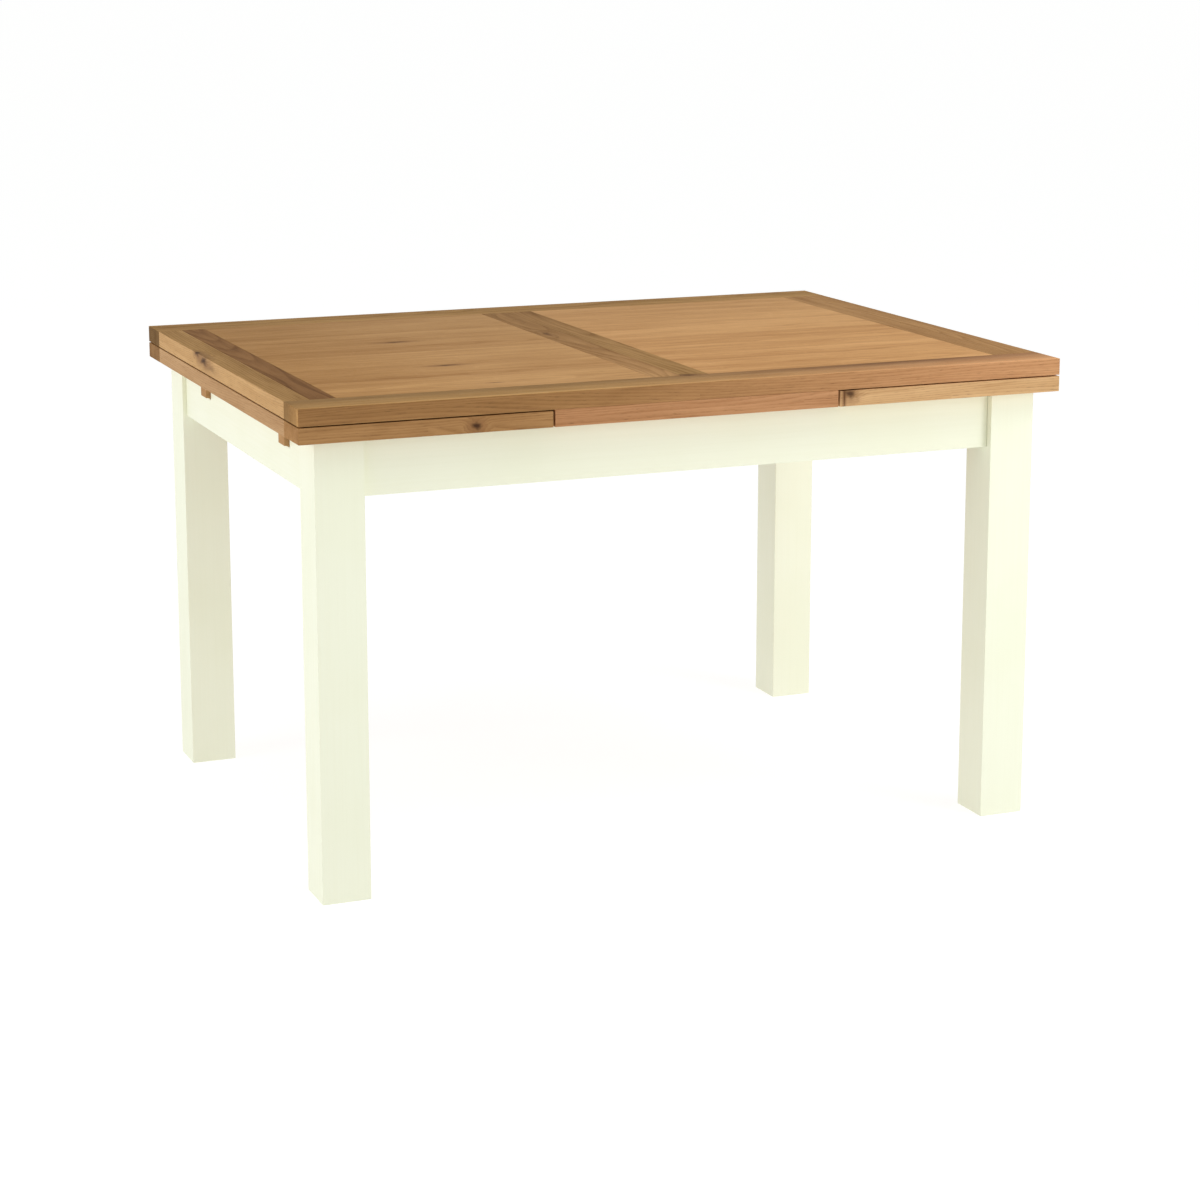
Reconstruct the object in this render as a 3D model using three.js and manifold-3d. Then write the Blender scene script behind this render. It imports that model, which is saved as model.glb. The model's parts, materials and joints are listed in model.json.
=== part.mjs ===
// Draw-leaf extending dining table, closed, in millimetres.
// +X runs along the table's length, +Y to its back, +Z up; the origin is on the floor under the middle.
// A loose framed top lies on a fixed centre board and on two draw leaves. Each leaf is screwed to two
// tapered runners. Drawn out, it climbs the slope of its runners until it is level with the top.

import * as THREE from 'three';
import { mergeVertices } from 'three/addons/utils/BufferGeometryUtils.js';
import Module from 'manifold-3d';

const wasm = await Module();
wasm.setup();

// Overall size
const LENGTH = 1295;
const WIDTH = 940;
const HEIGHT = 780;

// Gaps between pieces
const GLUE = 0.1; // between boards glued edge to edge
const FIT = 0.3; // between pieces that rest on or are screwed to each other
const LIFT_GAP = 2.2; // from the top of a leaf to the underside of the main top
const LEAF_GAP = 3; // from a leaf's inner edge to the centre board

// Boards of the top and the leaves
const TOP_THICK = 27;
const LEAF_THICK = 25;
const LEAF_LENGTH = 403;
const LONG_RAIL = 76; // width of the boards along the front and back edges
const END_STRIP = 41; // width of each of the two strips across an end
const MID_STRIP = 48; // width of each of the two strips across the middle of the top

// Base
const LEG = 78;
const LEG_OUT_X = 616;
const LEG_OUT_Y = 441.5;
const RAIL_THICK = 22;
const RAIL_BOTTOM = 633;
const SIDE_SETBACK = 13; // from the legs' front faces to the long rails
const END_SETBACK = 7; // from the legs' end faces to the end rails
const GUIDE_X = 150; // the two inner rails that guide the runners
const GUIDE_BOTTOM = 640;

// Runners
const RUNNER_WIDE = 33;
const RUNNER_PLACES = [-268, 211]; // across the table, for the left leaf
const RUNNER_OUTER_X = -617; // stands a little proud of the end rail
const RUNNER_INNER_X = 380;
const RUNNER_OUTER_BOTTOM = 691;
const RUNNER_LEVEL_X = -195; // from here inwards the underside is level
const SLOT_WIDE = 36;
const STOP = { outerX: -190.5, long: 25, thick: 15, bottom: 664, tall: 28 };

// Locating pegs of the top, in the middle of its length
const PEG_Y = 330;
const PEG_RADIUS = 10;
const PEG_INTO_TOP = 15;
const PEG_BOTTOM = 690;
const PEG_HOLE_RADIUS = 12.5;
const DISC_RADIUS = 20;
const DISC_THICK = 6;
const SCREW_RADIUS = 2.5;
const SCREW_INTO_PEG = 32;
const SCREW_HEAD_RADIUS = 5;
const SCREW_HEAD = 3;

// Corner blocks and leg bolts
const BLOCK_THICK = 22;
const BLOCK_OFF_LEG = 2.5;
const BLOCK_BOTTOM = 640;
const BLOCK_TALL = 44;
const BOLT_RADIUS = 4;
const BOLT_INTO_LEG = 45;
const BOLT_TAIL = 42;
const NUT_ACROSS_CORNERS = 15;
const NUT_THICK = 6.5;

// Felt pads under the ends of the top
const FELT = { fromEnd: 7.5, wide: 14, long: 880, thick: 1.4 };

// Levels and edges that follow from those
const TOP_UNDER = HEIGHT - TOP_THICK;
const LEAF_TOP = TOP_UNDER - LIFT_GAP;
const LEAF_UNDER = LEAF_TOP - LEAF_THICK;
const BASE_TOP = LEAF_UNDER - FIT;
const END_X = LENGTH / 2;
const SIDE_Y = WIDTH / 2;
const LEAF_IN_X = END_X - LEAF_LENGTH;
const BOARD_X = LEAF_IN_X - LEAF_GAP;
const SLOPE = (TOP_THICK + LIFT_GAP) / LEAF_LENGTH; // a leaf climbs its depth below the top over its length
const LEG_IN_X = LEG_OUT_X - LEG;
const LEG_IN_Y = LEG_OUT_Y - LEG;
const SIDE_RAIL_OUT = LEG_OUT_Y - SIDE_SETBACK;
const SIDE_RAIL_IN = SIDE_RAIL_OUT - RAIL_THICK;
const END_RAIL_OUT = LEG_OUT_X - END_SETBACK;
const END_RAIL_IN = END_RAIL_OUT - RAIL_THICK;
const RUNNER_LEVEL_BOTTOM = RUNNER_OUTER_BOTTOM - SLOPE * (RUNNER_LEVEL_X - RUNNER_OUTER_X);
const BOLT_Z = BLOCK_BOTTOM + BLOCK_TALL / 2;

const material = (color, roughness, metalness = 0) =>
  new THREE.MeshStandardMaterial({ color, roughness, metalness });
const oakPanel = material(0xb98c5e, 0.55);
const oakBorder = material(0xa57c50, 0.55);
const oakDark = material(0x7f5c3c, 0.55);
const creamPaint = material(0xf1f0da, 0.45);
const runnerWood = material(0xbf945f, 0.6);
const zincSteel = material(0xa9acb0, 0.4, 0.9);
const feltGrey = material(0x55534f, 0.95);

const table = new THREE.Group();

function add(parent, name, geometry, look) {
  const mesh = new THREE.Mesh(geometry, look);
  mesh.name = name;
  parent.add(mesh);
  return mesh;
}

// A squared board between two values on each axis, placed by its middle.
function addBoard(parent, name, look, [x0, x1], [y0, y1], [z0, z1]) {
  const mesh = add(parent, name, new THREE.BoxGeometry(x1 - x0, y1 - y0, z1 - z0), look);
  mesh.position.set((x0 + x1) / 2, (y0 + y1) / 2, (z0 + z1) / 2);
  return mesh;
}

// The same board as a geometry in the table's own coordinates, for cutting.
function board([x0, x1], [y0, y1], [z0, z1]) {
  const box = new THREE.BoxGeometry(x1 - x0, y1 - y0, z1 - z0);
  return box.translate((x0 + x1) / 2, (y0 + y1) / 2, (z0 + z1) / 2);
}

// A round rod between two points.
function rod(from, to, radius, sides = 24) {
  const along = new THREE.Vector3().subVectors(to, from);
  const cylinder = new THREE.CylinderGeometry(radius, radius, along.length(), sides);
  const turn = new THREE.Quaternion().setFromUnitVectors(new THREE.Vector3(0, 1, 0), along.normalize());
  const middle = new THREE.Vector3().addVectors(from, to).multiplyScalar(0.5);
  return cylinder.applyQuaternion(turn).translate(middle.x, middle.y, middle.z);
}

function upright(x, y, z0, z1, radius) {
  return rod(new THREE.Vector3(x, y, z0), new THREE.Vector3(x, y, z1), radius);
}

function solidOf(geometry) {
  const bare = geometry.clone();
  bare.deleteAttribute('normal');
  bare.deleteAttribute('uv');
  const welded = mergeVertices(bare, 1e-4);
  const vertProperties = new Float32Array(welded.attributes.position.array);
  const triVerts = new Uint32Array(welded.index.array);
  return new wasm.Manifold(new wasm.Mesh({ numProp: 3, vertProperties, triVerts }));
}

function geometryOf(solid) {
  const { vertProperties, triVerts } = solid.getMesh();
  const geometry = new THREE.BufferGeometry();
  geometry.setAttribute('position', new THREE.BufferAttribute(vertProperties, 3));
  geometry.setIndex(new THREE.BufferAttribute(triVerts, 1));
  geometry.computeVertexNormals();
  return geometry;
}

function cut(geometry, ...cutters) {
  return geometryOf(cutters.reduce((rest, cutter) => rest.subtract(solidOf(cutter)), solidOf(geometry)));
}

function join(first, second) {
  return geometryOf(solidOf(first).add(solidOf(second)));
}

// An outline in X and Z, as thick as stated in Y around a middle plane.
function profileXZ(points, middleY, thick) {
  const shape = new THREE.Shape(points.map(([x, z]) => new THREE.Vector2(x, z)));
  const geometry = new THREE.ExtrudeGeometry(shape, { depth: thick, bevelEnabled: false });
  return geometry.rotateX(Math.PI / 2).translate(0, middleY + thick / 2, 0);
}

// ---- Base: legs, rails, corner blocks and their bolts ----

const corners = [
  ['front_left', -1, -1],
  ['front_right', 1, -1],
  ['back_left', -1, 1],
  ['back_right', 1, 1],
];

function cornerPoint(sx, sy, out) {
  const step = out / Math.SQRT2;
  return new THREE.Vector3(sx * (LEG_IN_X + step), sy * (LEG_IN_Y + step), BOLT_Z);
}

function addLeg(parent, name, sx, sy) {
  const spanX = [sx * LEG_IN_X, sx * LEG_OUT_X].sort((a, b) => a - b);
  const spanY = [sy * LEG_IN_Y, sy * LEG_OUT_Y].sort((a, b) => a - b);
  const bore = rod(cornerPoint(sx, sy, -5), cornerPoint(sx, sy, BOLT_INTO_LEG + FIT), BOLT_RADIUS + FIT);
  add(parent, name, cut(board(spanX, spanY, [0, BASE_TOP]), bore), creamPaint);
}

// A diagonal block across the inside of a corner, its ends cut to the faces of the two rails.
function addCornerBlock(parent, name, sx, sy) {
  const railX = END_RAIL_IN - FIT;
  const railY = SIDE_RAIL_IN - FIT;
  const outer = LEG_IN_X + LEG_IN_Y - BLOCK_OFF_LEG * Math.SQRT2;
  const inner = outer - BLOCK_THICK * Math.SQRT2;
  const outline = [
    [outer - railY, railY],
    [railX, outer - railX],
    [railX, inner - railX],
    [inner - railY, railY],
  ];
  const shape = new THREE.Shape(outline.map(([x, y]) => new THREE.Vector2(sx * x, sy * y)));
  const block = new THREE.ExtrudeGeometry(shape, { depth: BLOCK_TALL, bevelEnabled: false });
  block.translate(0, 0, BLOCK_BOTTOM);
  const bore = rod(cornerPoint(sx, sy, -60), cornerPoint(sx, sy, 5), BOLT_RADIUS + FIT);
  add(parent, name, cut(block, bore), runnerWood);
}

function addBoltAndNut(parent, corner, sx, sy) {
  const bolt = rod(cornerPoint(sx, sy, -BOLT_TAIL), cornerPoint(sx, sy, BOLT_INTO_LEG), BOLT_RADIUS, 16);
  add(parent, `leg_bolt_${corner}`, bolt, zincSteel);
  const nutFar = -(BLOCK_OFF_LEG + BLOCK_THICK + FIT);
  const nutNear = nutFar - NUT_THICK;
  const hexagon = rod(cornerPoint(sx, sy, nutNear), cornerPoint(sx, sy, nutFar), NUT_ACROSS_CORNERS / 2, 6);
  const bore = rod(cornerPoint(sx, sy, nutNear - 5), cornerPoint(sx, sy, nutFar + 5), BOLT_RADIUS + FIT, 16);
  add(parent, `leg_nut_${corner}`, cut(hexagon, bore), zincSteel);
}

function slot(x0, x1, y, bottom) {
  return board([x0 - 1, x1 + 1], [y - SLOT_WIDE / 2, y + SLOT_WIDE / 2], [bottom, HEIGHT]);
}

// An end rail, notched at its top edge for the runners of the leaf on its own side.
function addEndRail(parent, name, side) {
  const [x0, x1] = [side * END_RAIL_OUT, side * END_RAIL_IN].sort((a, b) => a - b);
  const halfLong = LEG_IN_Y - FIT;
  const notchBottom = RUNNER_OUTER_BOTTOM - SLOPE * (-END_RAIL_IN - RUNNER_OUTER_X) - FIT;
  const notches = RUNNER_PLACES.map((y) => slot(x0, x1, -side * y, notchBottom));
  const rail = board([x0, x1], [-halfLong, halfLong], [RAIL_BOTTOM, BASE_TOP]);
  add(parent, name, cut(rail, ...notches), creamPaint);
}

// An inner rail across the table, slotted for all four runners.
function addGuideRail(parent, name, x) {
  const [x0, x1] = [x - RAIL_THICK / 2, x + RAIL_THICK / 2];
  const halfLong = SIDE_RAIL_IN - FIT;
  const places = RUNNER_PLACES.flatMap((y) => [y, -y]);
  const slots = places.map((y) => slot(x0, x1, y, RUNNER_LEVEL_BOTTOM - FIT));
  const rail = board([x0, x1], [-halfLong, halfLong], [GUIDE_BOTTOM, BASE_TOP - FIT]);
  add(parent, name, cut(rail, ...slots), runnerWood);
}

function addBase(parent) {
  for (const [corner, sx, sy] of corners) {
    addLeg(parent, `leg_${corner}`, sx, sy);
    addCornerBlock(parent, `corner_block_${corner}`, sx, sy);
    addBoltAndNut(parent, corner, sx, sy);
  }
  const railSpan = [-(LEG_IN_X - FIT), LEG_IN_X - FIT];
  const railTall = [RAIL_BOTTOM, BASE_TOP];
  addBoard(parent, 'side_rail_front', creamPaint, railSpan, [-SIDE_RAIL_OUT, -SIDE_RAIL_IN], railTall);
  addBoard(parent, 'side_rail_back', creamPaint, railSpan, [SIDE_RAIL_IN, SIDE_RAIL_OUT], railTall);
  addEndRail(parent, 'end_rail_left', -1);
  addEndRail(parent, 'end_rail_right', 1);
  addGuideRail(parent, 'guide_rail_left', -GUIDE_X);
  addGuideRail(parent, 'guide_rail_right', GUIDE_X);
}

// The fixed board between the leaves, with a hole for each locating peg.
function addCentreBoard(parent) {
  const [z0, z1] = [LEAF_UNDER, TOP_UNDER - FIT];
  const plank = board([-BOARD_X, BOARD_X], [-SIDE_Y, SIDE_Y], [z0, z1]);
  const holes = [-PEG_Y, PEG_Y].map((y) => upright(0, y, z0 - 5, z1 + 5, PEG_HOLE_RADIUS));
  add(parent, 'centre_board', cut(plank, ...holes), oakBorder);
}

// ---- Draw leaves: a framed board on two runners, turned half round for the right end ----

function runnerOutline() {
  const inner = -LEAF_IN_X;
  const tipTop = BASE_TOP - SLOPE * (RUNNER_INNER_X - inner);
  return [
    [RUNNER_OUTER_X, RUNNER_OUTER_BOTTOM],
    [RUNNER_LEVEL_X, RUNNER_LEVEL_BOTTOM],
    [RUNNER_INNER_X, RUNNER_LEVEL_BOTTOM],
    [RUNNER_INNER_X, tipTop],
    [inner, BASE_TOP],
    [RUNNER_OUTER_X, BASE_TOP],
  ];
}

function addRunner(parent, side, place, y) {
  const name = `${side}_leaf_runner_${place}`;
  add(parent, name, profileXZ(runnerOutline(), y, RUNNER_WIDE), runnerWood);
  // The other leaf's runners pass on the +Y side, so the stop is on the other face.
  const stopY = y - RUNNER_WIDE / 2 - FIT;
  const spanY = [stopY - STOP.thick, stopY];
  const spanX = [STOP.outerX, STOP.outerX + STOP.long];
  const spanZ = [STOP.bottom, STOP.bottom + STOP.tall];
  addBoard(parent, `${side}_leaf_stop_${place}`, runnerWood, spanX, spanY, spanZ);
}

function addLeaf(parent, side) {
  const group = new THREE.Group();
  group.rotation.z = side === 'left' ? 0 : Math.PI;
  parent.add(group);
  const places = side === 'left' ? ['front', 'back'] : ['back', 'front'];
  const tall = [LEAF_UNDER, LEAF_TOP];
  const inY = SIDE_Y - LONG_RAIL;
  const full = [-END_X, -LEAF_IN_X];
  const between = [-inY + GLUE, inY - GLUE];
  addBoard(group, `${side}_leaf_rail_${places[0]}`, oakBorder, full, [-SIDE_Y, -inY], tall);
  addBoard(group, `${side}_leaf_rail_${places[1]}`, oakBorder, full, [inY, SIDE_Y], tall);
  const strip1 = -END_X + END_STRIP;
  const strip2 = strip1 + END_STRIP;
  addBoard(group, `${side}_leaf_outer_strip`, oakBorder, [-END_X, strip1], between, tall);
  addBoard(group, `${side}_leaf_inner_strip`, oakDark, [strip1 + GLUE, strip2], between, tall);
  addBoard(group, `${side}_leaf_panel`, oakPanel, [strip2 + GLUE, -LEAF_IN_X], between, tall);
  RUNNER_PLACES.forEach((y, i) => addRunner(group, side, places[i], y));
}

// ---- Main top: two panels in a frame of rails and strips, two pegs and two felt pads ----

function addTopBoards(parent) {
  const tall = [TOP_UNDER, HEIGHT];
  const inY = SIDE_Y - LONG_RAIL;
  const between = [-inY + GLUE, inY - GLUE];
  const strip1 = END_X - END_STRIP;
  const strip2 = strip1 - END_STRIP;
  addBoard(parent, 'top_rail_front', oakBorder, [-END_X, END_X], [-SIDE_Y, -inY], tall);
  addBoard(parent, 'top_rail_back', oakBorder, [-END_X, END_X], [inY, SIDE_Y], tall);
  addBoard(parent, 'top_outer_strip_left', oakBorder, [-END_X, -strip1], between, tall);
  addBoard(parent, 'top_inner_strip_left', oakDark, [-strip1 + GLUE, -strip2], between, tall);
  addBoard(parent, 'top_inner_strip_right', oakBorder, [strip2, strip1 - GLUE], between, tall);
  addBoard(parent, 'top_outer_strip_right', oakBorder, [strip1, END_X], between, tall);
  addBoard(parent, 'top_panel_left', oakPanel, [-strip2 + GLUE, -MID_STRIP - GLUE], between, tall);
  addBoard(parent, 'top_panel_right', oakPanel, [MID_STRIP + GLUE, strip2 - GLUE], between, tall);
  const socketTop = TOP_UNDER + PEG_INTO_TOP + FIT;
  const sockets = [-PEG_Y, PEG_Y].map((y) => upright(0, y, TOP_UNDER - 5, socketTop, PEG_RADIUS + FIT));
  const midLeft = board([-MID_STRIP, -GLUE / 2], between, tall);
  const midRight = board([GLUE / 2, MID_STRIP], between, tall);
  add(parent, 'top_middle_strip_left', cut(midLeft, ...sockets), oakBorder);
  add(parent, 'top_middle_strip_right', cut(midRight, ...sockets), oakBorder);
}

// A peg, the disc that keeps the top from lifting off, and the screw that holds the disc.
function addPeg(parent, place, y) {
  const screwTop = PEG_BOTTOM + SCREW_INTO_PEG;
  const discTop = PEG_BOTTOM - FIT;
  const discBottom = discTop - DISC_THICK;
  const headTop = discBottom - FIT;
  const headBottom = headTop - SCREW_HEAD;
  const bore = upright(0, y, headBottom, screwTop + FIT, SCREW_RADIUS + FIT);
  const peg = upright(0, y, PEG_BOTTOM, TOP_UNDER + PEG_INTO_TOP, PEG_RADIUS);
  add(parent, `top_peg_${place}`, cut(peg, bore), runnerWood);
  const disc = upright(0, y, discBottom, discTop, DISC_RADIUS);
  add(parent, `peg_disc_${place}`, cut(disc, bore), runnerWood);
  const shank = upright(0, y, headTop - 1, screwTop, SCREW_RADIUS);
  const head = upright(0, y, headBottom, headTop, SCREW_HEAD_RADIUS);
  add(parent, `peg_screw_${place}`, join(shank, head), zincSteel);
}

function addFelt(parent, name, side) {
  const spanX = [END_X - FELT.fromEnd - FELT.wide, END_X - FELT.fromEnd];
  const placed = spanX.map((x) => side * x).sort((a, b) => a - b);
  const top = TOP_UNDER - FIT;
  addBoard(parent, name, feltGrey, placed, [-FELT.long / 2, FELT.long / 2], [top - FELT.thick, top]);
}

addBase(table);
addCentreBoard(table);
addLeaf(table, 'left');
addLeaf(table, 'right');
addTopBoards(table);
addPeg(table, 'front', -PEG_Y);
addPeg(table, 'back', PEG_Y);
addFelt(table, 'felt_strip_left', -1);
addFelt(table, 'felt_strip_right', 1);

export default table;
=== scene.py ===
import json
import math
import random

import bmesh
import bpy
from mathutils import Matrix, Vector

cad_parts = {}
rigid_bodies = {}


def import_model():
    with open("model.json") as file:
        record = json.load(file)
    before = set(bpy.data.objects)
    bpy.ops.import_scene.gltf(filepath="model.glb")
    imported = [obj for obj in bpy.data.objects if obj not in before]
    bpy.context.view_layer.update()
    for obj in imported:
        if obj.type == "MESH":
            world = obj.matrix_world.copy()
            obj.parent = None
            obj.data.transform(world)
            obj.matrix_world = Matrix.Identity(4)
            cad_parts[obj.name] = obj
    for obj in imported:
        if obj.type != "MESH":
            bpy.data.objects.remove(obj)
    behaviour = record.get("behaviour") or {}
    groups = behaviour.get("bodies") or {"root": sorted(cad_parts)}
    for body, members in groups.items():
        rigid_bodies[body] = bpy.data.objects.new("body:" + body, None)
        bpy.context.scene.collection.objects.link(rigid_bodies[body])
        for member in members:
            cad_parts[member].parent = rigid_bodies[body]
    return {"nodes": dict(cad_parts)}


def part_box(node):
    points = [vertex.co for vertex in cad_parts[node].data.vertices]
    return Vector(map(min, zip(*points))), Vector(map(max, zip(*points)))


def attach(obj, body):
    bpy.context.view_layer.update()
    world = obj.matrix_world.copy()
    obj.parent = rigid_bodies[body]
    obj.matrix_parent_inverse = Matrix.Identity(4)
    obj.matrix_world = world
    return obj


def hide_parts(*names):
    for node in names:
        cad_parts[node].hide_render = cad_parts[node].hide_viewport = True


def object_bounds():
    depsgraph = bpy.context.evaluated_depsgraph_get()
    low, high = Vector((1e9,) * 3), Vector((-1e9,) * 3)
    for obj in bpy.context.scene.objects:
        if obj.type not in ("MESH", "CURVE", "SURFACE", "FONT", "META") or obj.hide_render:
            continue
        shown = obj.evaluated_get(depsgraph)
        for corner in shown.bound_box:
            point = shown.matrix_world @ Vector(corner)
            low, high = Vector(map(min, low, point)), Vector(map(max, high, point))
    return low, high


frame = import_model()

CAD_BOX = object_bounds()
LOW, HIGH = CAD_BOX
NODES = frame["nodes"]

# Camera: where it stands, in metres, its turn from +Y and its tilt below level, and its lens in mm
CAMERA_PLACE = Vector((-1.7717, -4.3825, 1.4777))
CAMERA_YAW = 0.389
CAMERA_PITCH = math.radians(11.23)
CAMERA_LENS = 83.9
CAMERA_SHIFT_Y = -0.10
CAMERA_SENSOR = 36.0
CAMERA_FARTHEST = 300.0


def srgb(red, green, blue):
    """A colour given as it looks on a screen, 0 to 255, as linear values with alpha."""
    def linear(value):
        value /= 255
        return value / 12.92 if value <= 0.04045 else ((value + 0.055) / 1.055) ** 2.4
    return (linear(red), linear(green), linear(blue), 1.0)


# ---- Short calls for building node trees ----

class Tree:
    """A node tree that grows by short calls. Most of them return an output socket."""

    def __init__(self, tree):
        self.tree = tree

    def node(self, kind, inputs=None, **settings):
        made = self.tree.nodes.new(kind)
        for key, value in settings.items():
            setattr(made, key, value)
        for key, value in (inputs or {}).items():
            self.feed(made.inputs[key], value)
        return made

    def feed(self, socket, value):
        if isinstance(value, bpy.types.NodeSocket):
            self.tree.links.new(value, socket)
        else:
            socket.default_value = value

    def math(self, operation, *values, clamp=False):
        inputs = dict(enumerate(values))
        return self.node("ShaderNodeMath", inputs, operation=operation, use_clamp=clamp).outputs[0]

    def vector(self, operation, *values):
        made = self.node("ShaderNodeVectorMath", dict(enumerate(values)), operation=operation)
        return made.outputs["Value" if operation == "LENGTH" else "Vector"]

    def split(self, vector):
        return self.node("ShaderNodeSeparateXYZ", {0: vector}).outputs

    def join(self, x, y, z):
        return self.node("ShaderNodeCombineXYZ", {0: x, 1: y, 2: z}).outputs[0]

    def noise(self, place, scale, detail=2.0, roughness=0.5, distortion=0.0):
        inputs = {"Vector": place, "Scale": scale, "Detail": detail,
                  "Roughness": roughness, "Distortion": distortion}
        return self.node("ShaderNodeTexNoise", inputs).outputs["Fac"]

    def paced_noise(self, place, pace, *settings):
        """Noise that changes at its own pace along each axis."""
        return self.noise(self.vector("MULTIPLY", place, pace), 1.0, *settings)

    def noise_vector(self, place, scale, detail=1.0):
        inputs = {"Vector": place, "Scale": scale, "Detail": detail}
        return self.node("ShaderNodeTexNoise", inputs).outputs["Color"]

    def fit(self, value, low, high, to_low=0.0, to_high=1.0, smooth=True):
        kind = "SMOOTHSTEP" if smooth else "LINEAR"
        inputs = {"Value": value, "From Min": low, "From Max": high,
                  "To Min": to_low, "To Max": to_high}
        return self.node("ShaderNodeMapRange", inputs, interpolation_type=kind).outputs["Result"]

    def mix(self, factor, first, second, blend="MIX"):
        made = self.node("ShaderNodeMix", data_type="RGBA", blend_type=blend)
        self.feed(made.inputs[0], factor)
        self.feed(made.inputs[6], first)
        self.feed(made.inputs[7], second)
        return made.outputs[2]

    def bump(self, shader, height, strength, distance):
        inputs = {"Height": height, "Strength": strength, "Distance": distance}
        self.feed(shader.inputs["Normal"], self.node("ShaderNodeBump", inputs).outputs["Normal"])

    def ramp(self, value, stops):
        made = self.node("ShaderNodeValToRGB", {"Fac": value})
        ramp = made.color_ramp
        while len(ramp.elements) < len(stops):
            ramp.elements.new(1.0)
        for element, (place, level) in zip(ramp.elements, stops):
            element.position = place
            element.color = (level, level, level, 1.0)
        return made.outputs["Color"]


def new_material(name):
    """A material with only its shader and its output, the tree to grow it with, and the shader."""
    made = bpy.data.materials.new(name)
    made.use_nodes = True
    tree = Tree(made.node_tree)
    shader = made.node_tree.nodes["Principled BSDF"]
    return made, tree, shader


def new_group(name, inputs, outputs):
    """A node group, the tree to grow it with, the sockets it is given and those of its result."""
    group = bpy.data.node_groups.new(name, "ShaderNodeTree")
    for label, kind in inputs:
        group.interface.new_socket(label, in_out="INPUT", socket_type=kind)
    for label, kind in outputs:
        group.interface.new_socket(label, in_out="OUTPUT", socket_type=kind)
    tree = Tree(group)
    given = tree.node("NodeGroupInput").outputs
    result = tree.node("NodeGroupOutput").inputs
    return group, tree, given, result


# How deep the relief of wood, paint and felt goes at full strength, in metres
BUMP_DEEP = 0.0004


# ---- Wood ----

# Growth rings, in metres. The pith runs under the boards of the top, and wanders.
RING_WIDTH = 0.0032
PITH_SPREAD = 0.16
PITH_HIGHEST = 0.74
PITH_DROP = 0.07
WANDER_SIDEWAYS = 0.060
WANDER_UPWARD = 0.045

# How dark a ring is from its porous early wood, at 0, to its end
RING_TONES = [(0.0, 0.55), (0.10, 1.0), (0.42, 0.45), (0.80, 0.0), (0.97, 0.12)]

# How often each kind of figure changes along the grain, across it and into the board, per metre
WANDER_PACE = (1.1, 5.0, 5.0)
STREAK_PACE = (1.6, 34.0, 34.0)
BROAD_PACE = (2.5, 9.0, 9.0)
MOTTLE_PACE = (11.0, 60.0, 60.0)
FLECK_PACE = (17.0, 170.0, 170.0)
FIBRE_PACE = (14.0, 420.0, 420.0)
PORE_PACE = (70.0, 1500.0, 1500.0)
RAY_PACE = (95.0, 30.0, 420.0)

# How far each kind of figure moves the tone from the light colour towards the deep one
MIDDLE_TONE = 0.40
FIBRE_TONE = 0.38
MOTTLE_TONE = 0.55
FLECK_TONE = 0.16
RAY_TONE = -0.07

# The stretch of the log that the staves are cut from, in metres along it and across it
STAVE_ALONG = 7.0
STAVE_ACROSS = 3.0

# How unevenly the rings follow each other: the pace per metre, and the range in ring widths
UNEVEN_PACE = 45.0
UNEVEN_RANGE = 1.6

# Pores, and the glue line between two staves
PORE_COLOR = (0.10, 0.052, 0.022, 1.0)
PORE_OUTSIDE_RINGS = 0.25  # share of the pores that late wood has too
SEAM_COLOR = (0.16, 0.085, 0.040, 1.0)
SEAM_WIDTH = 0.0006
SEAM_STRENGTH = 0.30

# Relief, as shares of a pore's depth, and how much pores and deep tones add to the roughness
FIBRE_HEIGHT = 0.25
RING_HEIGHT = -0.20
SEAM_HEIGHT = -0.6
PORE_ROUGH = 0.25
TONE_ROUGH = 0.12


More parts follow.
